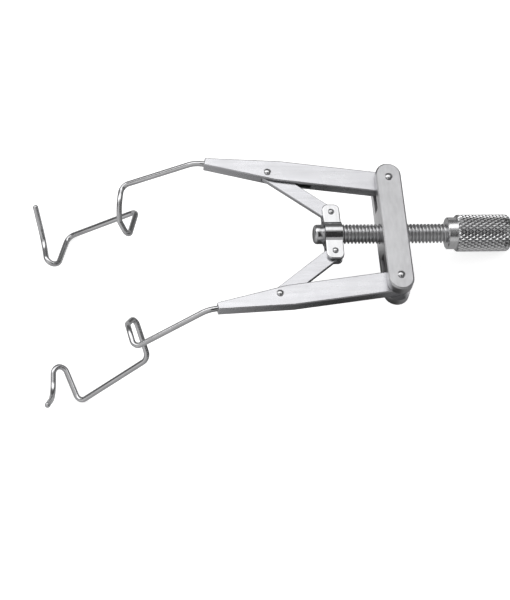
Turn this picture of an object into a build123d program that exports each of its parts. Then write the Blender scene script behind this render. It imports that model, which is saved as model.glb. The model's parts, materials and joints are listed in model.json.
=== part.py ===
from build123d import *
import os
from math import cos, radians, sin

# Eye speculum with bent-wire lid blades, spread by a screw.
#
# A slotted crossbar carries two arms on pivot pins. A screw runs through the crossbar and
# turns in a yoke at its far end, and two links join the yoke to the arms, so that turning
# the knob swings both arms, and the blades on their noses, apart.
#
# Everything is modelled in the mechanism's own frame: the screw lies along X with the knob
# at +X, the arms swing in the XY plane, and +Z is the front face. The last section lays the
# finished pieces down as the instrument rests on a table. Lengths are in millimetres.

# Clearances
RUNNING_CLEARANCE = 0.03     # radial, a pin or journal that turns in its hole
FIXED_CLEARANCE = 0.01       # radial, a pin or wire fastened in its hole
SLOT_CLEARANCE = 0.05        # each side of a plate that swings in a slot
SHOULDER_CLEARANCE = 0.04    # along the screw, each side of the yoke
THREAD_CLEARANCE = 0.05      # radial, the screw in the crossbar

# Crossbar
PIVOT_SPACING = 17.96
CROSSBAR_WIDTH = 4.1         # along the screw
CROSSBAR_THICKNESS = 5.5     # front to back
CROSSBAR_END = 2.56          # pivot to the end of the bar
CROSSBAR_SOLID = 8.3         # between the two end slots
CROSSBAR_EDGE = 0.25

# Arms, measured from the pivot along the bar
ARM_ANGLE = 7.8              # each side of the screw
ARM_WIDTH = 3.65
ARM_THICKNESS = 1.9
TAPER_START_OUTSIDE = 17.4
TAPER_START_INSIDE = 17.9
ARM_LENGTH = 29.4
ARM_EDGE = 0.12
NOSE_WIDTH = 1.3
NOSE_SHIFT = 0.2             # outward, from the middle of the bar
NOSE_EDGE = 0.25
LINK_PIN_REACH = 19.28
LINK_PIN_INSET = 0.53        # inward, from the middle of the bar
LINK_SLOT_LENGTH = 7.2       # from the link pin towards the pivot

# Links
LINK_WIDTH = 2.4
LINK_THICKNESS = 0.8
LINK_END_CLEARANCE = 0.12    # round the link's end in the arm and in the yoke
FREE_HOLE_TRAVEL = 0.34      # length of play in the hole at the yoke
FREE_HOLE_PLAY = 0.09        # radial play in that hole
FREE_HOLE_INSET = 0.06       # of that hole, towards the screw
FREE_END_EXTRA = 0.2         # metal added past that hole

# Yoke
YOKE_X = -9.65
YOKE_PIN_SPACING = 7.08
YOKE_LENGTH = 2.78           # along the screw
EAR_THICKNESS = 2.1
EAR_END = 1.41               # pin to the end of the ear
EAR_CORNER = 0.9
BARREL_RADIUS = 1.94

# Screw, retaining button and knob
THREAD_RADIUS = 1.55
THREAD_CHAMFER = 0.25
JOURNAL_RADIUS = 1.05
SPIGOT_RADIUS = 1.2
SPIGOT_LENGTH = 6.0
BUTTON_LENGTH = 1.6
BUTTON_ROUND = 0.55
BUTTON_WALL = 0.5            # closed end over the journal
COLLAR_X = 8.75              # the face that looks at the crossbar
COLLAR_LENGTH = 1.55
COLLAR_RADIUS = 2.55
COLLAR_CHAMFER = 0.3
KNOB_LENGTH = 8.7
KNOB_RADIUS = 2.95
KNOB_CHAMFER = 0.3
KNOB_ROUND = 0.7

# Pins
CROSSBAR_PIN_RADIUS = 0.65
LINK_PIN_RADIUS = 0.6
YOKE_PIN_RADIUS = 0.52
PIN_DOME = 0.1

# Lid blades, one bent wire on each arm
WIRE_RADIUS = 0.45
WIRE_TIP_ROUND = 0.35
WIRE_SEAT = 3.0              # length of wire inside the nose
WIRE_LEAD = 1.55             # nose to the first bend
WIRE_LEAD_BEND = 3.0
BLADE_PITCH = 46.6           # slope of the lid run under the front face
BLADE_REACH = 9.65           # nose to the start of the lid run, along the screw
BLADE_DROP = 15.95           # start of the lid run under the nose

# Bends of the upper blade from the arm's wire to the tip. Each is (along the lid run, out
# from the nose, height over the run), with the radius of the bend.
BLADE_BENDS = [
    ((-3.1, 1.73, 6.4), 1.3),    # end of the arm's wire
    ((-2.8, -1.97, 7.15), 3.5),  # bow of the outer leg
    ((-1.25, -3.67, 5.4), 1.1),  # near hook
    ((-1.1, -5.82, 3.2), 1.0),
    ((-0.8, 0.48, 0.2), 1.4),    # start of the lid run
    ((14.4, 2.33, -0.1), 1.3),   # end of the lid run
    ((15.1, -3.87, 2.3), 1.15),  # far hook
    ((16.0, -3.17, 3.9), 1.3),
    ((17.0, 1.43, 3.2), 4.0),    # turn-out of the tip
]
BLADE_TIP = (14.6, 5.43, 7.6)

# Resting on a table
TILT_SEARCH = (0, 45)        # degrees between which the knob end comes down
TILT_PRECISION = 0.0005

# Places that follow from these sizes
PIVOT_Y = PIVOT_SPACING / 2
ARM_FRAME = Plane(
    origin=(0, PIVOT_Y, 0),
    x_dir=(-cos(radians(ARM_ANGLE)), sin(radians(ARM_ANGLE)), 0),
    z_dir=(0, 0, 1),
)  # local X runs to the nose, local Y inward
LINK_PIN = ARM_FRAME.from_local_coords(Vector(LINK_PIN_REACH, LINK_PIN_INSET, 0))
YOKE_PIN = Vector(YOKE_X, YOKE_PIN_SPACING / 2, 0)
LINK_LENGTH = (YOKE_PIN - LINK_PIN).length
LINK_FRAME = Plane(origin=LINK_PIN, x_dir=YOKE_PIN - LINK_PIN, z_dir=(0, 0, 1))
LINK_SLOT = LINK_THICKNESS + 2 * SLOT_CLEARANCE
FORK_BOTTOM = YOKE_PIN.Y - LINK_WIDTH / 2 - FREE_END_EXTRA - LINK_END_CLEARANCE
YOKE_LEFT = YOKE_X - YOKE_LENGTH / 2
YOKE_RIGHT = YOKE_X + YOKE_LENGTH / 2
BUTTON_RIGHT = YOKE_LEFT - SHOULDER_CLEARANCE
BUTTON_LEFT = BUTTON_RIGHT - BUTTON_LENGTH
KNURL_X = COLLAR_X + COLLAR_LENGTH
KNOB_END = KNURL_X + KNOB_LENGTH
NOSE_FACE = ARM_FRAME.from_local_coords(Vector(ARM_LENGTH, -NOSE_SHIFT, 0))
LID_START = NOSE_FACE + Vector(-BLADE_REACH, 0, -BLADE_DROP)
ALONG_LID = Vector(-cos(radians(BLADE_PITCH)), 0, -sin(radians(BLADE_PITCH)))
OVER_LID = Vector(-sin(radians(BLADE_PITCH)), 0, cos(radians(BLADE_PITCH)))


def square_to_screw(x):
    """Plane across the screw's axis, facing the knob."""
    return Plane(origin=(x, 0, 0), x_dir=(0, 1, 0), z_dir=(1, 0, 0))


def on_blade(along, out, over):
    """Place on the upper blade, from the start of its lid run."""
    return LID_START + ALONG_LID * along + Vector(0, out, 0) + OVER_LID * over


def below(point):
    """The same place on the lower arm's side."""
    return Vector(point.X, -point.Y, point.Z)


# Crossbar, full round at both ends and slotted there for the arms
with BuildPart() as crossbar:
    with BuildSketch(Plane.XY.offset(-CROSSBAR_THICKNESS / 2)):
        SlotOverall(PIVOT_SPACING + 2 * CROSSBAR_END, CROSSBAR_WIDTH, rotation=90)
    extrude(amount=CROSSBAR_THICKNESS)
    chamfer(crossbar.faces().filter_by(Axis.Z).edges(), CROSSBAR_EDGE)
    arm_slot = ARM_THICKNESS + 2 * SLOT_CLEARANCE
    bar_end = PIVOT_Y + CROSSBAR_END
    with BuildSketch(Plane.XY.offset(-arm_slot / 2)):
        with Locations((0, bar_end), (0, -bar_end)):
            Rectangle(2 * CROSSBAR_WIDTH, 2 * bar_end - CROSSBAR_SOLID)
    extrude(amount=arm_slot, mode=Mode.SUBTRACT)
    with Locations(square_to_screw(0)):
        Hole(THREAD_RADIUS + THREAD_CLEARANCE)
    with Locations((0, PIVOT_Y), (0, -PIVOT_Y)):
        Hole(CROSSBAR_PIN_RADIUS + FIXED_CLEARANCE)
crossbar.part.label = "crossbar"

# Upper arm, a flat bar that tapers to the nose, slotted from the inside for its link
with BuildPart() as upper_arm:
    half_width = ARM_WIDTH / 2
    nose_outside = -NOSE_SHIFT - NOSE_WIDTH / 2
    nose_inside = -NOSE_SHIFT + NOSE_WIDTH / 2
    with BuildSketch(ARM_FRAME.offset(-ARM_THICKNESS / 2)) as bar:
        with BuildLine():
            Polyline(
                (0, -half_width),
                (TAPER_START_OUTSIDE, -half_width),
                (ARM_LENGTH, nose_outside),
                (ARM_LENGTH, nose_inside),
                (TAPER_START_INSIDE, half_width),
                (0, half_width),
            )
            ThreePointArc((0, half_width), (-half_width, 0), (0, -half_width))
        make_face()
        fillet(bar.vertices().sort_by(Axis.X)[:2], NOSE_EDGE)
    extrude(amount=ARM_THICKNESS)
    chamfer(upper_arm.faces().filter_by(Axis.Z).edges(), ARM_EDGE)
    with BuildSketch(ARM_FRAME.offset(-LINK_SLOT / 2)):
        end_room = LINK_WIDTH / 2 + LINK_END_CLEARANCE
        with Locations((LINK_PIN_REACH, LINK_PIN_INSET)):
            Circle(end_room)
        with Locations((LINK_PIN_REACH, LINK_PIN_INSET - end_room)):
            Rectangle(LINK_SLOT_LENGTH, ARM_WIDTH, align=(Align.MAX, Align.MIN))
    extrude(amount=LINK_SLOT, mode=Mode.SUBTRACT)
    with Locations(ARM_FRAME):
        Hole(CROSSBAR_PIN_RADIUS + RUNNING_CLEARANCE)
    with Locations(LINK_PIN):
        Hole(LINK_PIN_RADIUS + FIXED_CLEARANCE)
    with Locations(Plane(origin=NOSE_FACE, z_dir=ARM_FRAME.x_dir)):
        Hole(WIRE_RADIUS + FIXED_CLEARANCE, depth=WIRE_SEAT + FIXED_CLEARANCE)
upper_arm.part.label = "upper_arm"

with BuildPart() as lower_arm:
    mirror(upper_arm.part, about=Plane.XZ)
lower_arm.part.label = "lower_arm"


# Lid blades, one wire each from its seat in the nose to the free tip
def bent_wire(route):
    """Wire bent at each place of its route, with its free end rounded."""
    with BuildPart() as wire:
        with BuildLine():
            FilletPolyline(*route, radius=[WIRE_LEAD_BEND] + [radius for _, radius in BLADE_BENDS])
        with BuildSketch(Plane(origin=route[0], z_dir=route[1] - route[0])):
            Circle(WIRE_RADIUS)
        sweep()
        tip_edge = wire.edges().filter_by(GeomType.CIRCLE).sort_by_distance(route[-1])[0]
        fillet(tip_edge, WIRE_TIP_ROUND)
    return wire


wire_seat = NOSE_FACE - ARM_FRAME.x_dir * WIRE_SEAT
wire_lead = NOSE_FACE + ARM_FRAME.x_dir * WIRE_LEAD
upper_route = [wire_seat, wire_lead, *[on_blade(*place) for place, _ in BLADE_BENDS], on_blade(*BLADE_TIP)]
upper_blade = bent_wire(upper_route)
upper_blade.part.label = "upper_blade"
lower_blade = bent_wire([below(place) for place in upper_route])
lower_blade.part.label = "lower_blade"

# Upper link, with play in its hole at the yoke
with BuildPart() as upper_link:
    with BuildSketch(LINK_FRAME.offset(-LINK_THICKNESS / 2)):
        reach = LINK_LENGTH + FREE_END_EXTRA
        with Locations((reach / 2, 0)):
            SlotCenterToCenter(reach, LINK_WIDTH)
        Circle(LINK_PIN_RADIUS + RUNNING_CLEARANCE, mode=Mode.SUBTRACT)
        free_hole = 2 * (YOKE_PIN_RADIUS + FREE_HOLE_PLAY)
        with Locations((LINK_LENGTH + FREE_HOLE_TRAVEL / 2, -FREE_HOLE_INSET)):
            SlotCenterToCenter(FREE_HOLE_TRAVEL, free_hole, mode=Mode.SUBTRACT)
    extrude(amount=LINK_THICKNESS)
upper_link.part.label = "upper_link"

with BuildPart() as lower_link:
    mirror(upper_link.part, about=Plane.XZ)
lower_link.part.label = "lower_link"

# Yoke, a barrel on the screw's journal with a forked ear for each link
with BuildPart() as yoke:
    with BuildSketch(Plane.XY.offset(-EAR_THICKNESS / 2)):
        with Locations((YOKE_X, 0)):
            RectangleRounded(YOKE_LENGTH, YOKE_PIN_SPACING + 2 * EAR_END, EAR_CORNER)
    extrude(amount=EAR_THICKNESS)
    with BuildSketch(square_to_screw(YOKE_LEFT)):
        Circle(BARREL_RADIUS)
    extrude(amount=YOKE_LENGTH)
    with BuildSketch(Plane.XY.offset(-LINK_SLOT / 2)):
        ear_top = YOKE_PIN.Y + EAR_END
        with Locations((YOKE_X, ear_top), (YOKE_X, -ear_top)):
            Rectangle(2 * YOKE_LENGTH, 2 * (ear_top - FORK_BOTTOM))
    extrude(amount=LINK_SLOT, mode=Mode.SUBTRACT)
    with Locations(square_to_screw(YOKE_X)):
        Hole(JOURNAL_RADIUS + RUNNING_CLEARANCE)
    with Locations(YOKE_PIN, below(YOKE_PIN)):
        Hole(YOKE_PIN_RADIUS + FIXED_CLEARANCE)
yoke.part.label = "yoke"

# Screw: a journal for the yoke, the threaded length and a spigot for the knob
with BuildPart() as screw:
    journal_end = BUTTON_LEFT + BUTTON_WALL
    thread_start = YOKE_RIGHT + SHOULDER_CLEARANCE
    spigot_end = COLLAR_X + SPIGOT_LENGTH
    with BuildSketch(Plane.XY):
        with BuildLine():
            Polyline(
                (journal_end, 0),
                (journal_end, JOURNAL_RADIUS),
                (thread_start, JOURNAL_RADIUS),
                (thread_start, THREAD_RADIUS - THREAD_CHAMFER),
                (thread_start + THREAD_CHAMFER, THREAD_RADIUS),
                (COLLAR_X, THREAD_RADIUS),
                (COLLAR_X, SPIGOT_RADIUS),
                (spigot_end, SPIGOT_RADIUS),
                (spigot_end, 0),
                close=True,
            )
        make_face()
    revolve(axis=Axis.X)
screw.part.label = "screw"

# Retaining button, the rounded cap that holds the yoke on the journal
with BuildPart() as retaining_button:
    with BuildSketch(square_to_screw(BUTTON_LEFT)):
        Circle(THREAD_RADIUS)
    extrude(amount=BUTTON_LENGTH)
    fillet(retaining_button.edges().sort_by(Axis.X)[0], BUTTON_ROUND)
    with Locations(square_to_screw(BUTTON_RIGHT)):
        Hole(JOURNAL_RADIUS + FIXED_CLEARANCE, depth=BUTTON_LENGTH - BUTTON_WALL + FIXED_CLEARANCE)
retaining_button.part.label = "retaining_button"

# Knob, turned with a collar that stops at the crossbar
with BuildPart() as knob:
    with BuildSketch(square_to_screw(COLLAR_X)):
        Circle(COLLAR_RADIUS)
    extrude(amount=COLLAR_LENGTH)
    chamfer(knob.edges().sort_by(Axis.X)[0], COLLAR_CHAMFER)
    with BuildSketch(square_to_screw(KNURL_X)):
        Circle(KNOB_RADIUS)
    extrude(amount=KNOB_LENGTH)
    shoulder = knob.edges().filter_by_position(Axis.X, KNURL_X, KNURL_X)
    chamfer(shoulder.sort_by(SortBy.RADIUS)[-1], KNOB_CHAMFER)
    fillet(knob.edges().sort_by(Axis.X)[-1], KNOB_ROUND)
    with Locations(square_to_screw(COLLAR_X)):
        Hole(SPIGOT_RADIUS + FIXED_CLEARANCE, depth=SPIGOT_LENGTH + FIXED_CLEARANCE)
knob.part.label = "knob"


# Pins, along Z through the plates that they join
def domed_pin(middle, radius, length):
    """Pin with low domed ends that stand proud of the faces."""
    upright = Plane(origin=middle, x_dir=(1, 0, 0), z_dir=(0, -1, 0))
    dome_radius = (radius**2 + PIN_DOME**2) / (2 * PIN_DOME)
    top = length / 2
    with BuildPart() as rivet:
        with BuildSketch(upright):
            with BuildLine():
                Line((0, -top - PIN_DOME), (0, top + PIN_DOME))
                RadiusArc((0, top + PIN_DOME), (radius, top), dome_radius)
                Line((radius, top), (radius, -top))
                RadiusArc((radius, -top), (0, -top - PIN_DOME), dome_radius)
            make_face()
        revolve(axis=Axis(middle, (0, 0, 1)))
    return rivet.part


pin_sizes = {
    "crossbar_pin": (Vector(0, PIVOT_Y, 0), CROSSBAR_PIN_RADIUS, CROSSBAR_THICKNESS),
    "link_pin": (LINK_PIN, LINK_PIN_RADIUS, ARM_THICKNESS),
    "yoke_pin": (YOKE_PIN, YOKE_PIN_RADIUS, EAR_THICKNESS),
}
pins = []
for name, (middle, radius, length) in pin_sizes.items():
    for side, place in (("upper", middle), ("lower", below(middle))):
        pin = domed_pin(place, radius, length)
        pin.label = f"{side}_{name}"
        pins.append(pin)

# The instrument rests on a table on both blades and on the knob, so the knob end is low
blades = [upper_blade.part, lower_blade.part]
arms = [upper_arm.part, lower_arm.part]
links = [upper_link.part, lower_link.part]
spindle = [yoke.part, screw.part, retaining_button.part, knob.part]
pieces = [crossbar.part, *arms, *blades, *links, *spindle, *pins]


def lowest(piece, tilt):
    """Lowest point of a piece when the knob end is lowered by that many degrees."""
    return piece.rotate(Axis.Y, tilt).bounding_box().min.Z


low_tilt, high_tilt = TILT_SEARCH
while high_tilt - low_tilt > TILT_PRECISION:
    tilt = (low_tilt + high_tilt) / 2
    if lowest(knob.part, tilt) > lowest(upper_blade.part, tilt):
        low_tilt = tilt
    else:
        high_tilt = tilt

box = Compound(children=[piece.rotate(Axis.Y, tilt) for piece in pieces]).bounding_box()
laid_down = Pos(-box.center().X, -box.center().Y, -box.min.Z) * Rotation(0, tilt, 0)

os.makedirs("parts", exist_ok=True)
for piece in pieces:
    export_step(laid_down * piece, f"parts/{piece.label}.step")
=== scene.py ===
import json
from math import cos, pi, radians, sin, tan

import bmesh
import bpy
from mathutils import Matrix, Vector


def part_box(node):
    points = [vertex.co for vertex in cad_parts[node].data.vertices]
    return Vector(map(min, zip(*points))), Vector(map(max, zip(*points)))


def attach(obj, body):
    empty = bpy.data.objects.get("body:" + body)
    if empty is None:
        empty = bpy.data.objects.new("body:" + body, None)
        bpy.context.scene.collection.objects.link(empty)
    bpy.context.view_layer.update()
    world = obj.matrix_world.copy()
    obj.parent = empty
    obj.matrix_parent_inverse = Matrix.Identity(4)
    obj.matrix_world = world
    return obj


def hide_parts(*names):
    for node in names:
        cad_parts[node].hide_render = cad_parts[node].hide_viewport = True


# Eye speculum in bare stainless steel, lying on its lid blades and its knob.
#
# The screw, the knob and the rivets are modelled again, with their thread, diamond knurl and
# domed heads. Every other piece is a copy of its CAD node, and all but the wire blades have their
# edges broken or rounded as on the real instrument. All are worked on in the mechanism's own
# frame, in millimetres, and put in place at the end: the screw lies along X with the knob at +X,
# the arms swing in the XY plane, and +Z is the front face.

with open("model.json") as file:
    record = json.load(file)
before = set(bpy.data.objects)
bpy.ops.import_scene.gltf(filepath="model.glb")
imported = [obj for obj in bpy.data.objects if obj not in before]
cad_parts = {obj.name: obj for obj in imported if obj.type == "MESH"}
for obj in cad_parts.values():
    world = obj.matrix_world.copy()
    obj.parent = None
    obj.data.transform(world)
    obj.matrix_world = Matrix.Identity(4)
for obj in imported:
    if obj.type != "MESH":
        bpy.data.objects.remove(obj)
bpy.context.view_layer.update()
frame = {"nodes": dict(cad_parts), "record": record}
joints = {joint["name"]: joint for joint in frame["record"]["behaviour"]["joints"]}
BODIES = {node: body for body, nodes in frame["record"]["behaviour"]["bodies"].items() for node in nodes}

# Mechanism frame, from the joints
KNOB_WAY = -Vector(joints["yoke_slide"]["axis"])
FRONT_WAY = -Vector(joints["upper_arm_swing"]["axis"])
UPPER_WAY = FRONT_WAY.cross(KNOB_WAY)
UPPER_PIVOT = Vector(joints["upper_arm_swing"]["pos_m"])
LOWER_PIVOT = Vector(joints["lower_arm_swing"]["pos_m"])
MILLIMETRE = 0.001
MECHANISM = Matrix.Translation((UPPER_PIVOT + LOWER_PIVOT) / 2) @ Matrix((
    KNOB_WAY, UPPER_WAY, FRONT_WAY)).transposed().to_4x4() @ Matrix.Scale(MILLIMETRE, 4)

# Screw, in millimetres
THREAD_START = -8.22
THREAD_END = 8.9             # just inside the knob's collar
THREAD_RADIUS = 1.55
THREAD_PITCH = 0.577
THREAD_CREST = 0.12
FLANK_ANGLE = radians(30)
THREAD_DEPTH = 0.3
THREAD_CHAMFER = 0.25
THREAD_STEPS = 40            # round one turn
SPARE_TURNS = 2              # before the thread's start, cut off square
JOURNAL_RADIUS = 1.05
JOURNAL_END = -12.18

# Knob, in millimetres
COLLAR_START = 8.75
COLLAR_RADIUS = 2.55
COLLAR_CHAMFER = 0.15
KNURL_START = 10.3
KNOB_END = 19.0
KNOB_RADIUS = 2.95
KNOB_CHAMFER = 0.15
KNOB_ROUND = 0.7
ROUND_CUTS = (1.0, 0.75, 0.5, 0.3, 0.12)   # rings across the rounded end, as shares of its length
DIAMONDS_ROUND = 28
DIAMOND_LENGTH = 1.1
DIAMOND_FLANK = 0.265        # width of the slope round each diamond's small flat
SPARE_ROWS = 3               # of diamonds, cut off square
GROOVE_DEPTH = 0.17

# Rivets, in millimetres: radius and length between the faces that they hold
RIVETS = {"crossbar": (0.65, 5.5), "link": (0.6, 1.9), "yoke": (0.52, 2.1)}
HEAD_HEIGHT = 0.3
HEAD_RIM = 0.02              # height of the upright rim under the dome
RING_WIDTH = 0.07            # groove round the dome
RING_DEPTH = 0.12
RIVET_STEPS = 32

# Broken corners on the pieces copied from the CAD, in millimetres
CORNER_ANGLE = radians(28)   # faces that meet at more than this have a corner
PLATE_CORNER = 0.06
ARM_CORNER = 0.04
TURNED_CORNER = 0.05
CORNER_STEPS = 2

# Rounded rims of the front and back faces, in millimetres: the face's height and its rim's width
RIMS = {"arm": (0.95, 0.08), "link": (0.4, 0.12), "yoke": (1.05, 0.2)}
RIM_STEPS = 4
RIM_DEPTH = 0.13             # the arms' rims have a chamfer this deep in the CAD
PIN_ROOM = 0.95              # holes stay sharp this far round a pin's axis

# How near counts as the same, in millimetres
HAIR = 1e-4                  # at a cut across the screw
LEVEL = 0.005                # heights of an edge's ends
TURNED_WELD = 0.001
KNURL_WELD = 0.005
CAD_WELD = 0.0005
FLAT_ANGLE = radians(0.5)    # triangles this close to one plane are one face


# Meshes
def finish_piece(bm, name, body, node, material):
    """Turn the working mesh into a piece that rides on its body and stands for its node."""
    for face in bm.faces:
        face.smooth = True
    for edge in bm.edges:
        edge.smooth = edge.is_manifold and edge.calc_face_angle() < CORNER_ANGLE
    bmesh.ops.transform(bm, matrix=MECHANISM, verts=bm.verts)
    mesh = bpy.data.meshes.new(name)
    bm.to_mesh(mesh)
    bm.free()
    mesh.materials.append(material)
    piece = bpy.data.objects.new(name, mesh)
    bpy.context.scene.collection.objects.link(piece)
    weighted = piece.modifiers.new("flat_faces", "WEIGHTED_NORMAL")
    weighted.keep_sharp = True
    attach(piece, body)
    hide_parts(node)


def to_radius(verts, radius):
    """Move each vertex straight to or from the screw's axis."""
    for vert in verts:
        reach = Vector((0, vert.co.y, vert.co.z))
        if reach.length > 0:
            vert.co += reach * (radius / reach.length - 1)


def limit_radius(bm, start, end, radius_at):
    """Turn the stretch from start to end down to the radius that radius_at gives for each X."""
    for vert in bm.verts:
        if start <= vert.co.x <= end:
            limit = radius_at(vert.co.x)
            if Vector((0, vert.co.y, vert.co.z)).length > limit:
                to_radius([vert], limit)


def cut_square(bm, x, keep):
    """Cut across the screw's axis at x, keeping the left, the right or both sides."""
    bmesh.ops.bisect_plane(
        bm, geom=bm.verts[:] + bm.edges[:] + bm.faces[:], plane_co=(x, 0, 0), plane_no=(1, 0, 0),
        clear_outer=keep == "left", clear_inner=keep == "right")


def turn_on(bm, rim, steps):
    """Continue a turned surface from its open rim through (x, radius) steps, then close it."""
    for x, radius in steps:
        grown = bmesh.ops.extrude_edge_only(bm, edges=rim)["geom"]
        rim = [item for item in grown if isinstance(item, bmesh.types.BMEdge)
               and all(vert in grown for vert in item.verts)]
        verts = {vert for edge in rim for vert in edge.verts}
        for vert in verts:
            vert.co.x = x
        to_radius(verts, radius)
    bmesh.ops.edgeloop_fill(bm, edges=rim)


def open_rim(bm, x):
    """The open edges that lie across the screw's axis at x."""
    return [edge for edge in bm.edges if edge.is_boundary
            and all(abs(vert.co.x - x) < HAIR for vert in edge.verts)]


def sharp_edges(bm):
    """The edges where two faces meet at a corner."""
    return [edge for edge in bm.edges if edge.is_manifold and edge.calc_face_angle() > CORNER_ANGLE]


# Steel, as node groups used by every finish
BAND_SHARE = 0.12            # how much coarser the grain's broad bands are than its lines
HAIRLINE = 0.006             # half the width of a scratch, in cells of the scratch pattern
SMUDGE_SHARE = 0.5           # how much smudges dull the steel, beside the grain
SCRATCH_SHARE = 0.6          # depth of a scratch, beside the grain's
SHADE_RANGE = (0.86, 1.12)   # darkest and lightest bands, against the steel's plain colour
DULL_RANGE = (0.3, 1.2)      # marks that give the least and the most roughness
PLAIN_MARGIN = 0.05          # millimetres over the radius of a plain part beside a groove


def new_group(name, inputs, outputs):
    """Empty shader node group with its sockets, and its two end nodes."""
    group = bpy.data.node_groups.new(name, "ShaderNodeTree")
    for label, kind, value in inputs:
        socket = group.interface.new_socket(label, in_out="INPUT", socket_type=kind)
        if value is not None:
            socket.default_value = value
    for label, kind in outputs:
        group.interface.new_socket(label, in_out="OUTPUT", socket_type=kind)
    return group, group.nodes.new("NodeGroupInput"), group.nodes.new("NodeGroupOutput")


def math_node(nodes, operation, *values):
    """Math node with its plain values set."""
    node = nodes.new("ShaderNodeMath")
    node.operation = operation
    for index, value in enumerate(values):
        if value is not None:
            node.inputs[index].default_value = value
    return node


def make_grain_group():
    """Fine parallel lines left by a belt or a polishing wheel, along the local X."""
    group, given, result = new_group(
        "Steel Grain",
        [("Vector", "NodeSocketVector", None), ("Lines per mm", "NodeSocketFloat", 12.0),
         ("Stretch", "NodeSocketFloat", 14.0)],
        [("Lines", "NodeSocketFloat"), ("Bands", "NodeSocketFloat")])
    nodes, links = group.nodes, group.links
    inverse = math_node(nodes, "DIVIDE", 1.0)
    squeeze = nodes.new("ShaderNodeCombineXYZ")
    squeeze.inputs["Y"].default_value = 1.0
    squeeze.inputs["Z"].default_value = 1.0
    along = nodes.new("ShaderNodeVectorMath")
    along.operation = "MULTIPLY"
    lines = nodes.new("ShaderNodeTexNoise")
    lines.inputs["Detail"].default_value = 3.0
    lines.inputs["Roughness"].default_value = 0.6
    bands = nodes.new("ShaderNodeTexNoise")
    bands.inputs["Detail"].default_value = 2.0
    broad = math_node(nodes, "MULTIPLY", None, BAND_SHARE)
    links.new(given.outputs["Stretch"], inverse.inputs[1])
    links.new(inverse.outputs[0], squeeze.inputs["X"])
    links.new(given.outputs["Vector"], along.inputs[0])
    links.new(squeeze.outputs[0], along.inputs[1])
    links.new(along.outputs[0], lines.inputs["Vector"])
    links.new(given.outputs["Lines per mm"], lines.inputs["Scale"])
    links.new(along.outputs[0], bands.inputs["Vector"])
    links.new(given.outputs["Lines per mm"], broad.inputs[0])
    links.new(broad.outputs[0], bands.inputs["Scale"])
    links.new(lines.outputs["Fac"], result.inputs["Lines"])
    links.new(bands.outputs["Fac"], result.inputs["Bands"])
    return group


def make_handling_group():
    """Faint marks of washing and handling: cloudy smudges and a few hairline scratches."""
    group, given, result = new_group(
        "Handling Marks",
        [("Vector", "NodeSocketVector", None), ("Smudge Size mm", "NodeSocketFloat", 3.0)],
        [("Smudges", "NodeSocketFloat"), ("Scratches", "NodeSocketFloat")])
    nodes, links = group.nodes, group.links
    scale = math_node(nodes, "DIVIDE", 1.0)
    smudges = nodes.new("ShaderNodeTexNoise")
    smudges.inputs["Detail"].default_value = 4.0
    smudges.inputs["Distortion"].default_value = 0.6
    smudge_range = nodes.new("ShaderNodeMapRange")
    smudge_range.inputs["From Min"].default_value = 0.35
    smudge_range.inputs["From Max"].default_value = 0.7
    rubbed = nodes.new("ShaderNodeMapping")
    rubbed.inputs["Rotation"].default_value = (0, 0, radians(12))
    rubbed.inputs["Scale"].default_value = (0.12, 1, 0.5)
    cells = nodes.new("ShaderNodeTexVoronoi")
    cells.feature = "DISTANCE_TO_EDGE"
    cells.inputs["Scale"].default_value = 0.35
    cells.inputs["Randomness"].default_value = 1.0
    hairline = math_node(nodes, "LESS_THAN", None, HAIRLINE)
    links.new(given.outputs["Smudge Size mm"], scale.inputs[1])
    links.new(given.outputs["Vector"], smudges.inputs["Vector"])
    links.new(scale.outputs[0], smudges.inputs["Scale"])
    links.new(smudges.outputs["Fac"], smudge_range.inputs["Value"])
    links.new(smudge_range.outputs["Result"], result.inputs["Smudges"])
    links.new(given.outputs["Vector"], rubbed.inputs["Vector"])
    links.new(rubbed.outputs["Vector"], cells.inputs["Vector"])
    links.new(cells.outputs["Distance"], hairline.inputs[0])
    links.new(hairline.outputs[0], result.inputs["Scratches"])
    return group


def make_groove_group():
    """Height between a groove's root and crest, 0 to 1, from the distance to the screw's axis, which
    sets the painted shade in the grooves.
    """
    group, given, result = new_group(
        "Groove Painted Shade",
        [("Vector", "NodeSocketVector", None), ("Plain Below mm", "NodeSocketFloat", 1.1),
         ("Root mm", "NodeSocketFloat", 1.2), ("Crest mm", "NodeSocketFloat", 1.55)],
        [("Crest", "NodeSocketFloat")])
    nodes, links = group.nodes, group.links
    flatten = nodes.new("ShaderNodeVectorMath")
    flatten.operation = "MULTIPLY"
    flatten.inputs[1].default_value = (0, 1, 1)
    distance = nodes.new("ShaderNodeVectorMath")
    distance.operation = "LENGTH"
    rise = nodes.new("ShaderNodeMapRange")
    plain = math_node(nodes, "LESS_THAN")
    either = math_node(nodes, "MAXIMUM")
    links.new(given.outputs["Vector"], flatten.inputs[0])
    links.new(flatten.outputs[0], distance.inputs[0])
    links.new(distance.outputs["Value"], rise.inputs["Value"])
    links.new(given.outputs["Root mm"], rise.inputs["From Min"])
    links.new(given.outputs["Crest mm"], rise.inputs["From Max"])
    links.new(distance.outputs["Value"], plain.inputs[0])
    links.new(given.outputs["Plain Below mm"], plain.inputs[1])
    links.new(rise.outputs["Result"], either.inputs[0])
    links.new(plain.outputs[0], either.inputs[1])
    links.new(either.outputs[0], result.inputs["Crest"])
    return group


GRAIN = make_grain_group()
HANDLING = make_handling_group()
GROOVE_PAINTED_SHADE = make_groove_group()


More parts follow.
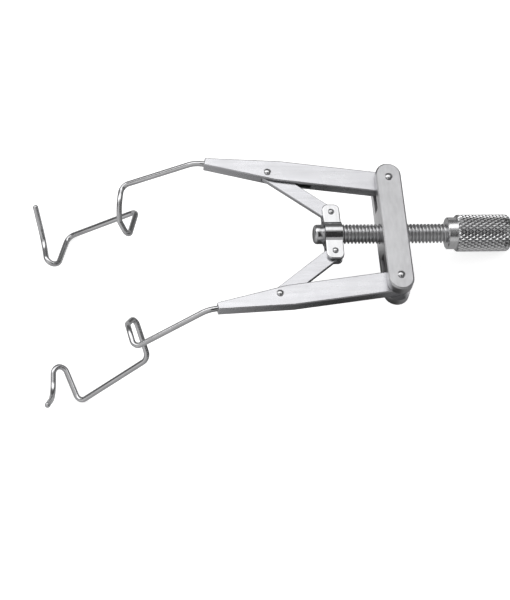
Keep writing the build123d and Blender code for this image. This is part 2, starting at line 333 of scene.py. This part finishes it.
def paint_groove_shade(nodes, links, vector, shade, groove, painted_root_shade):
    """Paint shade into the grooves of a thread or knurl, darker towards their roots, and give the new
    colour.
    """
    depth = nodes.new("ShaderNodeGroup")
    depth.node_tree = GROOVE_PAINTED_SHADE
    for label, value in groove.items():
        depth.inputs[label].default_value = value
    tone = nodes.new("ShaderNodeMapRange")
    tone.inputs["To Min"].default_value = painted_root_shade
    tinted = nodes.new("ShaderNodeMix")
    tinted.data_type = "RGBA"
    tinted.blend_type = "MULTIPLY"
    tinted.inputs["Factor"].default_value = 1.0
    links.new(vector, depth.inputs["Vector"])
    links.new(depth.outputs["Crest"], tone.inputs["Value"])
    links.new(shade, tinted.inputs["A"])
    links.new(tone.outputs["Result"], tinted.inputs["B"])
    return tinted.outputs["Result"]


def make_steel(name, colour, roughness, lines_per_mm, stretch, grain_depth,
               across=False, groove=None, painted_root_shade=1.0):
    """Stainless steel: colour and roughness each vary between two values over the surface.

    The grain runs along the screw, or across it, and its depth is in millimetres. A groove gives
    the inputs of the painted groove shade, which darkens the colour to the given share at its root.
    """
    material = bpy.data.materials.new(name)
    material.use_nodes = True
    nodes, links = material.node_tree.nodes, material.node_tree.links
    shader = nodes["Principled BSDF"]
    shader.inputs["Metallic"].default_value = 1.0
    place = nodes.new("ShaderNodeTexCoord")
    own_frame = nodes.new("ShaderNodeMapping")
    own_frame.vector_type = "TEXTURE"
    own_frame.inputs["Location"].default_value = MECHANISM.translation
    own_frame.inputs["Rotation"].default_value = MECHANISM.to_euler()
    own_frame.inputs["Scale"].default_value = (MILLIMETRE, MILLIMETRE, MILLIMETRE)
    links.new(place.outputs["Object"], own_frame.inputs["Vector"])
    vector = own_frame.outputs["Vector"]
    if across:
        turn = nodes.new("ShaderNodeMapping")
        turn.inputs["Rotation"].default_value = (0, 0, radians(90))
        links.new(vector, turn.inputs["Vector"])
        vector = turn.outputs["Vector"]
    grain = nodes.new("ShaderNodeGroup")
    grain.node_tree = GRAIN
    grain.inputs["Lines per mm"].default_value = lines_per_mm
    grain.inputs["Stretch"].default_value = stretch
    links.new(vector, grain.inputs["Vector"])
    handling = nodes.new("ShaderNodeGroup")
    handling.node_tree = HANDLING
    links.new(own_frame.outputs["Vector"], handling.inputs["Vector"])

    bands = nodes.new("ShaderNodeMix")
    bands.data_type = "RGBA"
    darkest, lightest = SHADE_RANGE
    bands.inputs["A"].default_value = (*[darkest * value for value in colour], 1)
    bands.inputs["B"].default_value = (*[min(1, lightest * value) for value in colour], 1)
    links.new(grain.outputs["Bands"], bands.inputs["Factor"])
    shade = bands.outputs["Result"]
    # Painted shade: the colour darkens towards the roots of a thread or knurl
    if groove:
        shade = paint_groove_shade(nodes, links, own_frame.outputs["Vector"], shade, groove, painted_root_shade)
    links.new(shade, shader.inputs["Base Color"])

    marks = math_node(nodes, "MULTIPLY_ADD", None, SMUDGE_SHARE)
    links.new(handling.outputs["Smudges"], marks.inputs[0])
    links.new(grain.outputs["Lines"], marks.inputs[2])
    dull = nodes.new("ShaderNodeMapRange")
    dull.inputs["From Min"].default_value, dull.inputs["From Max"].default_value = DULL_RANGE
    dull.inputs["To Min"].default_value, dull.inputs["To Max"].default_value = roughness
    links.new(marks.outputs[0], dull.inputs["Value"])
    links.new(dull.outputs["Result"], shader.inputs["Roughness"])

    height = math_node(nodes, "MULTIPLY_ADD", None, -SCRATCH_SHARE)
    links.new(handling.outputs["Scratches"], height.inputs[0])
    links.new(grain.outputs["Lines"], height.inputs[2])
    bump = nodes.new("ShaderNodeBump")
    bump.inputs["Strength"].default_value = 1.0
    bump.inputs["Distance"].default_value = grain_depth * MILLIMETRE
    links.new(height.outputs[0], bump.inputs["Height"])
    links.new(bump.outputs["Normal"], shader.inputs["Normal"])
    return material


crossbar_steel = make_steel(
    "crossbar_satin_steel", (0.5, 0.5, 0.51), (0.30, 0.40),
    lines_per_mm=16, stretch=3, grain_depth=0.003, across=True)
arm_steel = make_steel(
    "arm_satin_steel", (0.59, 0.59, 0.61), (0.24, 0.34),
    lines_per_mm=14, stretch=16, grain_depth=0.003)
link_steel = make_steel(
    "link_satin_steel", (0.56, 0.56, 0.58), (0.22, 0.3),
    lines_per_mm=14, stretch=12, grain_depth=0.001)
yoke_steel = make_steel(
    "yoke_satin_steel", (0.63, 0.63, 0.64), (0.1, 0.16),
    lines_per_mm=12, stretch=8, grain_depth=0.001, across=True)
# The thread's grooves get painted shade, down to 0.65 of the colour at their roots
screw_steel = make_steel(
    "screw_polished_steel", (0.81, 0.81, 0.82), (0.3, 0.38),
    lines_per_mm=8, stretch=0.1, grain_depth=0.001,
    groove={
        "Plain Below mm": JOURNAL_RADIUS + PLAIN_MARGIN,
        "Root mm": THREAD_RADIUS - THREAD_DEPTH,
        "Crest mm": THREAD_RADIUS,
    },
    painted_root_shade=0.65)
# The knurl's grooves get painted shade, down to half the colour at their roots
knob_steel = make_steel(
    "knurl_polished_steel", (0.86, 0.86, 0.87), (0.16, 0.24),
    lines_per_mm=8, stretch=0.1, grain_depth=0.001,
    groove={
        "Plain Below mm": COLLAR_RADIUS + PLAIN_MARGIN,
        "Root mm": KNOB_RADIUS - GROOVE_DEPTH,
        "Crest mm": KNOB_RADIUS,
    },
    painted_root_shade=0.5)
wire_steel = make_steel(
    "wire_polished_steel", (0.57, 0.57, 0.58), (0.12, 0.22),
    lines_per_mm=8, stretch=4, grain_depth=0.001)
pin_steel = make_steel(
    "pin_polished_steel", (0.58, 0.58, 0.59), (0.14, 0.22),
    lines_per_mm=8, stretch=1, grain_depth=0.001)


# Turned pieces
def start_chamfer(start, radius, width):
    """Radius at each X of a chamfer that climbs from its start to the full radius."""
    return lambda x: radius - width + x - start


def add_screw():
    """Wind one V groove along the whole length, and turn the yoke's journal on its start."""
    flank = THREAD_DEPTH * tan(FLANK_ANGLE)
    root_radius = THREAD_RADIUS - THREAD_DEPTH
    groove = [
        (0, root_radius), (flank, THREAD_RADIUS), (flank + THREAD_CREST, THREAD_RADIUS),
        (2 * flank + THREAD_CREST, root_radius), (THREAD_PITCH, root_radius),
    ]
    first_x = THREAD_START - SPARE_TURNS * THREAD_PITCH
    turns = int((THREAD_END - THREAD_START) / THREAD_PITCH) + 1 + SPARE_TURNS
    bm = bmesh.new()
    corners = [bm.verts.new((first_x + x, radius, 0)) for x, radius in groove]
    line = [bm.edges.new(pair) for pair in zip(corners, corners[1:])]
    bmesh.ops.spin(
        bm, geom=corners + line, cent=(0, 0, 0), axis=(1, 0, 0), angle=2 * pi * turns,
        dvec=(THREAD_PITCH / THREAD_STEPS, 0, 0), steps=THREAD_STEPS * turns)
    bmesh.ops.remove_doubles(bm, verts=bm.verts, dist=TURNED_WELD)
    cut_square(bm, THREAD_START, "right")
    cut_square(bm, THREAD_END, "left")
    limit_radius(
        bm, THREAD_START - HAIR, THREAD_START + THREAD_CHAMFER,
        start_chamfer(THREAD_START, THREAD_RADIUS, THREAD_CHAMFER))
    turn_on(bm, open_rim(bm, THREAD_START), [
        (THREAD_START, JOURNAL_RADIUS), (JOURNAL_END, JOURNAL_RADIUS)])
    bmesh.ops.edgeloop_fill(bm, edges=open_rim(bm, THREAD_END))
    bmesh.ops.recalc_face_normals(bm, faces=bm.faces)
    finish_piece(bm, "threaded_screw", "screw", "screw", screw_steel)


def raise_diamond(bm):
    """One diamond of the knurl: a small flat raised from the bottom of the grooves round it."""
    half_length = DIAMOND_LENGTH / 2
    half_turn = pi / DIAMONDS_ROUND
    low = KNOB_RADIUS - GROOVE_DEPTH
    corners = [
        bm.verts.new((-half_length, low, 0)),
        bm.verts.new((0, low * cos(half_turn), -low * sin(half_turn))),
        bm.verts.new((half_length, low, 0)),
        bm.verts.new((0, low * cos(half_turn), low * sin(half_turn))),
    ]
    diamond = bm.faces.new(corners)
    diamond.normal_update()
    raised = GROOVE_DEPTH if diamond.normal.y > 0 else -GROOVE_DEPTH
    bmesh.ops.inset_individual(bm, faces=[diamond], thickness=DIAMOND_FLANK, depth=raised)


def end_round(x):
    """Radius of the knob's rounded end at x."""
    along = min(x - KNOB_END + KNOB_ROUND, KNOB_ROUND)
    return KNOB_RADIUS - KNOB_ROUND + (KNOB_ROUND**2 - along**2)**0.5


def add_knob():
    """Copy a diamond round and along the knob, turn both its ends down and add the collar."""
    half_length = DIAMOND_LENGTH / 2
    bm = bmesh.new()
    raise_diamond(bm)
    copies = DIAMONDS_ROUND - 1
    bmesh.ops.spin(
        bm, geom=bm.verts[:] + bm.edges[:] + bm.faces[:], cent=(0, 0, 0), axis=(1, 0, 0),
        angle=2 * pi * copies / DIAMONDS_ROUND, steps=copies, use_duplicate=True)
    ring = bm.verts[:] + bm.edges[:] + bm.faces[:]
    rows = int((KNOB_END - KNURL_START) / half_length) + SPARE_ROWS
    for row in range(1, rows):
        copied = bmesh.ops.duplicate(bm, geom=ring)["geom"]
        copied_verts = [item for item in copied if isinstance(item, bmesh.types.BMVert)]
        turned = Matrix.Rotation(pi / DIAMONDS_ROUND * (row % 2), 4, "X")
        placed = Matrix.Translation((half_length * row, 0, 0)) @ turned
        bmesh.ops.transform(bm, matrix=placed, verts=copied_verts)
    bmesh.ops.translate(bm, vec=(KNURL_START - half_length / 2, 0, 0), verts=bm.verts)
    bmesh.ops.remove_doubles(bm, verts=bm.verts, dist=KNURL_WELD)
    cut_square(bm, KNURL_START, "right")
    cut_square(bm, KNOB_END, "left")
    for share in ROUND_CUTS:
        cut_square(bm, KNOB_END - KNOB_ROUND * share, "both")
    cut_square(bm, KNURL_START + KNOB_CHAMFER, "both")
    limit_radius(
        bm, KNURL_START - HAIR, KNURL_START + KNOB_CHAMFER,
        start_chamfer(KNURL_START, KNOB_RADIUS, KNOB_CHAMFER))
    limit_radius(bm, KNOB_END - KNOB_ROUND, KNOB_END + HAIR, end_round)
    turn_on(bm, open_rim(bm, KNURL_START), [
        (KNURL_START, COLLAR_RADIUS), (COLLAR_START + COLLAR_CHAMFER, COLLAR_RADIUS),
        (COLLAR_START, COLLAR_RADIUS - COLLAR_CHAMFER), (COLLAR_START, THREAD_RADIUS)])
    bmesh.ops.edgeloop_fill(bm, edges=open_rim(bm, KNOB_END))
    bmesh.ops.recalc_face_normals(bm, faces=bm.faces)
    finish_piece(bm, "knurled_knob", "screw", "knob", knob_steel)


add_screw()
add_knob()


# Pieces with the CAD's shape, their corners broken, but for the wire blades
def pin_axis(node):
    """Where a pin's middle lies in the mechanism's frame, from its CAD box."""
    low_corner, high_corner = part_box(node)
    return MECHANISM.inverted() @ ((Vector(low_corner) + Vector(high_corner)) / 2)


PIN_AXES = [pin_axis(f"{side}_{kind}_pin") for kind in RIVETS for side in ("upper", "lower")]


def on_rim(edge, height):
    """Whether an edge is part of the outline of the front or back face, not of a hole in it."""
    heights = [abs(vert.co.z) for vert in edge.verts]
    middle = (edge.verts[0].co + edge.verts[1].co) / 2
    return (edge.is_convex and abs(heights[0] - heights[1]) < LEVEL and max(heights) < height + LEVEL
            and min(heights) > height - RIM_DEPTH
            and all((middle - axis).xy.length > PIN_ROOM for axis in PIN_AXES))


def dress(node, name, material, corner, rim=None):
    """Copy a CAD node, join its loose triangles, round the rim of its faces and break its corners."""
    bm = bmesh.new()
    bm.from_mesh(frame["nodes"][node].data)
    bmesh.ops.transform(bm, matrix=MECHANISM.inverted(), verts=bm.verts)
    bmesh.ops.remove_doubles(bm, verts=bm.verts, dist=CAD_WELD)
    bmesh.ops.dissolve_limit(bm, angle_limit=FLAT_ANGLE, verts=bm.verts, edges=bm.edges)
    if rim:
        height, rim_width = RIMS[rim]
        outer = [edge for edge in sharp_edges(bm) if on_rim(edge, height)]
        bmesh.ops.bevel(
            bm, geom=outer, offset=rim_width, affect="EDGES", segments=RIM_STEPS, profile=0.5,
            material=-1, clamp_overlap=False)
    if corner:
        bmesh.ops.bevel(
            bm, geom=sharp_edges(bm), offset=corner, affect="EDGES", segments=CORNER_STEPS, profile=0.5,
            material=-1, clamp_overlap=True)
    finish_piece(bm, name, BODIES[node], node, material)


dress("crossbar", "slotted_crossbar", crossbar_steel, PLATE_CORNER)
dress("retaining_button", "rounded_button", pin_steel, TURNED_CORNER)
dress("yoke", "forked_yoke", yoke_steel, PLATE_CORNER, "yoke")
for side in ("upper", "lower"):
    dress(f"{side}_arm", f"{side}_tapered_arm", arm_steel, ARM_CORNER, "arm")
    dress(f"{side}_link", f"{side}_flat_link", link_steel, PLATE_CORNER, "link")
    dress(f"{side}_blade", f"{side}_wire_blade", wire_steel, 0)


# Rivets, with a domed head at each end
def add_rivet(side, kind, radius, length):
    """Spin one rivet round the middle of its CAD pin."""
    node = f"{side}_{kind}_pin"
    middle = pin_axis(node)
    face = length / 2
    head = radius - RING_WIDTH
    rise = HEAD_HEIGHT - HEAD_RIM
    bm = bmesh.new()
    dome = [(head * sin(radians(angle)), face + HEAD_RIM + rise * cos(radians(angle)))
            for angle in range(0, 91, 18)]
    front = [*dome, (head, face - RING_DEPTH), (radius, face - RING_DEPTH)]
    outline = [*front, *[(reach, -height) for reach, height in reversed(front)]]
    corners = [bm.verts.new((middle.x + reach, middle.y, middle.z + height))
               for reach, height in outline]
    line = [bm.edges.new(pair) for pair in zip(corners, corners[1:])]
    bmesh.ops.spin(
        bm, geom=corners + line, cent=middle, axis=(0, 0, 1), angle=2 * pi, steps=RIVET_STEPS,
        use_merge=True)
    bmesh.ops.remove_doubles(bm, verts=bm.verts, dist=TURNED_WELD)
    bmesh.ops.recalc_face_normals(bm, faces=bm.faces)
    finish_piece(bm, f"{side}_{kind}_rivet", BODIES[node], node, pin_steel)


for kind, (radius, length) in RIVETS.items():
    for side in ("upper", "lower"):
        add_rivet(side, kind, radius, length)

# Studio, in metres
FLOOR_REACH = 3.0
FLOOR_LIFT = 0.58            # glow that makes the floor white where it is seen
WORLD_LIGHT = 0.75           # strength of the world where it only lights, and 1 where it is seen
SOFTBOX_SIZE = (0.45, 0.22)
SOFTBOX_HEIGHT = 0.6
SOFTBOX_TILT = radians(-20)
SOFTBOX_WATTS = 0.5


def seen_rays(nodes, links):
    """1 for what the camera, reflections and clear materials see, and 0 for light on the object."""
    ray = nodes.new("ShaderNodeLightPath")
    seen = math_node(nodes, "MAXIMUM")
    through = math_node(nodes, "MAXIMUM")
    links.new(ray.outputs["Is Camera Ray"], seen.inputs[0])
    links.new(ray.outputs["Is Glossy Ray"], seen.inputs[1])
    links.new(seen.outputs[0], through.inputs[0])
    links.new(ray.outputs["Is Transmission Ray"], through.inputs[1])
    return through.outputs[0]


def own_place(nodes, links):
    """X, Y and Z of each point of an object, as the outputs of one node."""
    place = nodes.new("ShaderNodeTexCoord")
    parts = nodes.new("ShaderNodeSeparateXYZ")
    links.new(place.outputs["Object"], parts.inputs[0])
    return parts.outputs


def flat_plate(reach_x, reach_y, place):
    """Level rectangle that reaches this far each way from its place."""
    bm = bmesh.new()
    bmesh.ops.create_grid(bm, x_segments=1, y_segments=1, size=1)
    bmesh.ops.scale(bm, vec=(reach_x, reach_y, 1), verts=bm.verts)
    bmesh.ops.translate(bm, vec=place, verts=bm.verts)
    return bm


def studio_object(bm, name, material):
    """Turn the working mesh into an object of the studio."""
    mesh = bpy.data.meshes.new(name)
    bm.to_mesh(mesh)
    bm.free()
    mesh.materials.append(material)
    made = bpy.data.objects.new(name, mesh)
    bpy.context.scene.collection.objects.link(made)
    return made


def add_floor():
    """Floor, white to the camera and to reflections, with the object's soft shadow."""
    paper = bpy.data.materials.new("white_paper")
    paper.use_nodes = True
    nodes, links = paper.node_tree.nodes, paper.node_tree.links
    matt = nodes["Principled BSDF"]
    matt.inputs["Base Color"].default_value = (0.9, 0.9, 0.9, 1)
    matt.inputs["Roughness"].default_value = 0.9
    matt.inputs["Specular IOR Level"].default_value = 0.0
    matt.inputs["Emission Color"].default_value = (1, 1, 1, 1)
    lift = math_node(nodes, "MULTIPLY", None, FLOOR_LIFT)
    links.new(seen_rays(nodes, links), lift.inputs[0])
    links.new(lift.outputs[0], matt.inputs["Emission Strength"])
    floor = studio_object(flat_plate(FLOOR_REACH, FLOOR_REACH, (0, 0, 0)), "studio_floor", paper)


add_floor()


# Reflectors round the instrument, seen only in its polished and satin faces
def add_reflector(bm, name, stops):
    """Make a reflector whose brightness follows (place, level) stops, both from 0 to 1."""
    material = bpy.data.materials.new(name)
    material.use_nodes = True
    nodes, links = material.node_tree.nodes, material.node_tree.links
    shader = nodes["Principled BSDF"]
    shader.inputs["Base Color"].default_value = (0, 0, 0, 1)
    shader.inputs["Specular IOR Level"].default_value = 0.0
    shader.inputs["Emission Strength"].default_value = 1.0
    ramp = nodes.new("ShaderNodeValToRGB")
    points = ramp.color_ramp.elements
    while len(points) < len(stops):
        points.new(0.5)
    for point, (place, level) in zip(points, stops):
        point.position = place
        point.color = (level, level, level, 1)
    links.new(ramp.outputs["Color"], shader.inputs["Emission Color"])
    reflector = studio_object(bm, name, material)
    reflector.visible_camera = False
    reflector.visible_diffuse = False
    reflector.visible_shadow = False
    reflector.visible_transmission = False
    return nodes, links, ramp


def add_graded(bm, name, axis, levels):
    """Make a reflector that runs through (place, level) stops, in millimetres along a world axis."""
    first, last = levels[0][0], levels[-1][0]
    stops = [((where - first) / (last - first), level) for where, level in levels]
    nodes, links, ramp = add_reflector(bm, name, stops)
    along = nodes.new("ShaderNodeMapRange")
    along.inputs["From Min"].default_value = first * MILLIMETRE
    along.inputs["From Max"].default_value = last * MILLIMETRE
    links.new(own_place(nodes, links)[axis], along.inputs["Value"])
    links.new(along.outputs["Result"], ramp.inputs["Fac"])


# Arch along the screw, from the floor in front, over the top, to the floor behind
ARCH_RADIUS = 0.5
ARCH_HALF_LENGTH = 0.55
ARCH_STEPS = 48
ARCH_PEAK = 1.6              # level that glows at just the strength that the fades give
ARCH_LEVELS = [              # degrees up from the floor in front, and level there
    (0, 0.4), (28, 0.45), (60, 0.55), (97, 0.5), (102, 1.55), (131, 1.55),
    (136, 0.38), (148, 0.16), (164, 0.11), (178, 0.11), (180, 0.2),
]
ARCH_FADES = [               # where along X each change starts and ends, and its first and last strength
    (0.15, 0.33, 2.05, 1.3), (-0.45, -0.15, 1.15, 1.0), (0.34, 0.42, 1.0, 1.4),
]


def arch_strip(radius, x_start, x_end, angle_start, angle_end):
    """Part of a half pipe along X, between two angles up from the floor in front, in degrees."""
    bm = bmesh.new()
    first = radians(angle_start)
    ends = [bm.verts.new((x, -radius * cos(first), radius * sin(first))) for x in (x_start, x_end)]
    rail = bm.edges.new(ends)
    bmesh.ops.spin(
        bm, geom=ends + [rail], cent=(0, 0, 0), axis=(1, 0, 0), angle=radians(angle_start - angle_end),
        steps=ARCH_STEPS)
    return bm


def add_arch():
    """Arch whose level follows the angle round it, and whose strength follows X."""
    arch = arch_strip(ARCH_RADIUS, -ARCH_HALF_LENGTH, ARCH_HALF_LENGTH, 0, 180)
    stops = [(angle / 180, level / ARCH_PEAK) for angle, level in ARCH_LEVELS]
    nodes, links, ramp = add_reflector(arch, "reflection_arch", stops)
    place = own_place(nodes, links)
    ahead = math_node(nodes, "MULTIPLY", None, -1.0)
    angle = math_node(nodes, "ARCTAN2")
    share = math_node(nodes, "DIVIDE", None, pi)
    links.new(place["Y"], ahead.inputs[0])
    links.new(place["Z"], angle.inputs[0])
    links.new(ahead.outputs[0], angle.inputs[1])
    links.new(angle.outputs[0], share.inputs[0])
    links.new(share.outputs[0], ramp.inputs["Fac"])
    strength = None
    for x_start, x_end, first, last in ARCH_FADES:
        fade = nodes.new("ShaderNodeMapRange")
        fade.interpolation_type = "SMOOTHSTEP"
        fade.inputs["From Min"].default_value = x_start
        fade.inputs["From Max"].default_value = x_end
        fade.inputs["To Min"].default_value = first
        fade.inputs["To Max"].default_value = last
        product = math_node(nodes, "MULTIPLY", 1.0)
        links.new(place["X"], fade.inputs["Value"])
        if strength:
            links.new(strength, product.inputs[0])
        links.new(fade.outputs["Result"], product.inputs[1])
        strength = product.outputs[0]
    links.new(strength, nodes["Principled BSDF"].inputs["Emission Strength"])


add_arch()

# Strip in front of the arch, which draws the dark line along the barrel, the button and the collar
STRIP_RADIUS = 0.48
STRIP_X = (0.08, 0.345)
STRIP_ANGLES = (28, 87)
STRIP_STOPS = [(0, 0.04), (1, 0.04)]
add_reflector(arch_strip(STRIP_RADIUS, *STRIP_X, *STRIP_ANGLES), "dark_strip", STRIP_STOPS)

# Cards at the two ends of the arch, with their X and their levels along Y: dark beyond the knob,
# and beyond the blades light in front and dark behind
END_CARDS = {
    "knob_end_card": (ARCH_HALF_LENGTH, [(-500, 0.08), (500, 0.08)]),
    "blade_end_card": (
        -ARCH_HALF_LENGTH, [(-300, 0.9), (-150, 0.6), (-40, 0.5), (80, 0.12), (300, 0.1)]),
}
for name, (x, levels) in END_CARDS.items():
    bm = bmesh.new()
    bmesh.ops.create_circle(bm, cap_ends=True, radius=ARCH_RADIUS, segments=ARCH_STEPS)
    bmesh.ops.rotate(bm, cent=(0, 0, 0), matrix=Matrix.Rotation(pi / 2, 3, "Y"), verts=bm.verts)
    bmesh.ops.translate(bm, vec=(x, 0, 0), verts=bm.verts)
    add_graded(bm, name, "Y", levels)

# Sheet under the instrument, seen only in reflections: lighter towards the blades and the knob, and dark
# below the crossbar as a painted shadow of the instrument on the floor
SHEET_REACH = 0.48
SHEET_HEIGHT = 0.0001
# The darkest stops paint the instrument's shadow on the sheet below the crossbar
SHEET_LEVELS_WITH_PAINTED_SHADOW = [(-50, 0.55), (-14, 0.42), (0, 0.15), (9, 0.05), (16, 0.06), (23, 0.28), (70, 0.45)]
add_graded(flat_plate(SHEET_REACH, SHEET_REACH, (0, 0, SHEET_HEIGHT)), "under_sheet_with_painted_shadow", "X", SHEET_LEVELS_WITH_PAINTED_SHADOW)

# Light card on the sheet between the arms, which lights the crossbar's inner side
INNER_CARD_REACH = (0.0035, 0.007)
INNER_CARD_PLACE = (0.012, 0.0085, 2 * SHEET_HEIGHT)
INNER_CARD_LEVELS = [(1.5, 0.05), (2.6, 0.1), (4.6, 0.95), (13, 0.95), (15.5, 0.4)]
add_graded(flat_plate(*INNER_CARD_REACH, INNER_CARD_PLACE), "inner_card", "Y", INNER_CARD_LEVELS)

# Studio light
world = bpy.data.worlds.new("studio")
bpy.context.scene.world = world
world.use_nodes = True
nodes, links = world.node_tree.nodes, world.node_tree.links
background = nodes["Background"]
background.inputs["Color"].default_value = (1, 1, 1, 1)
strength = nodes.new("ShaderNodeMapRange")
strength.inputs["To Min"].default_value = WORLD_LIGHT
strength.inputs["To Max"].default_value = 1.0
links.new(seen_rays(nodes, links), strength.inputs["Value"])
links.new(strength.outputs["Result"], background.inputs["Strength"])

softbox_data = bpy.data.lights.new("softbox", "AREA")
softbox_data.shape = "RECTANGLE"
softbox_data.size, softbox_data.size_y = SOFTBOX_SIZE
softbox_data.energy = SOFTBOX_WATTS
softbox = bpy.data.objects.new("softbox", softbox_data)
softbox.matrix_world = Matrix.Rotation(SOFTBOX_TILT, 4, "X") @ Matrix.Translation((0, 0, SOFTBOX_HEIGHT))
softbox.visible_glossy = False
bpy.context.scene.collection.objects.link(softbox)

# Camera, at the photograph's place: in millimetres and directions of the mechanism's frame
CAMERA_PLACE = Vector((-93.79, -223.67, 379.81))
CAMERA_RIGHT = (0.98697, -0.08887, 0.13411)
CAMERA_UP = (0.01210, 0.87222, 0.48896)
CAMERA_BACK = (-0.16043, -0.48097, 0.86194)
CAMERA_LENS = 200.1
camera_data = bpy.data.cameras.new("camera")
camera_data.sensor_width = 36.0
camera_data.sensor_fit = "HORIZONTAL"
camera_data.lens = CAMERA_LENS
camera_data.clip_start = 0.01
camera_data.clip_end = 20.0
camera = bpy.data.objects.new("camera", camera_data)
turned = MECHANISM.to_3x3().normalized() @ Matrix((CAMERA_RIGHT, CAMERA_UP, CAMERA_BACK)).transposed()
camera.matrix_world = Matrix.Translation(MECHANISM @ CAMERA_PLACE) @ turned.to_4x4()
bpy.context.scene.collection.objects.link(camera)
bpy.context.scene.camera = camera
bpy.context.scene.view_settings.view_transform = "Standard"
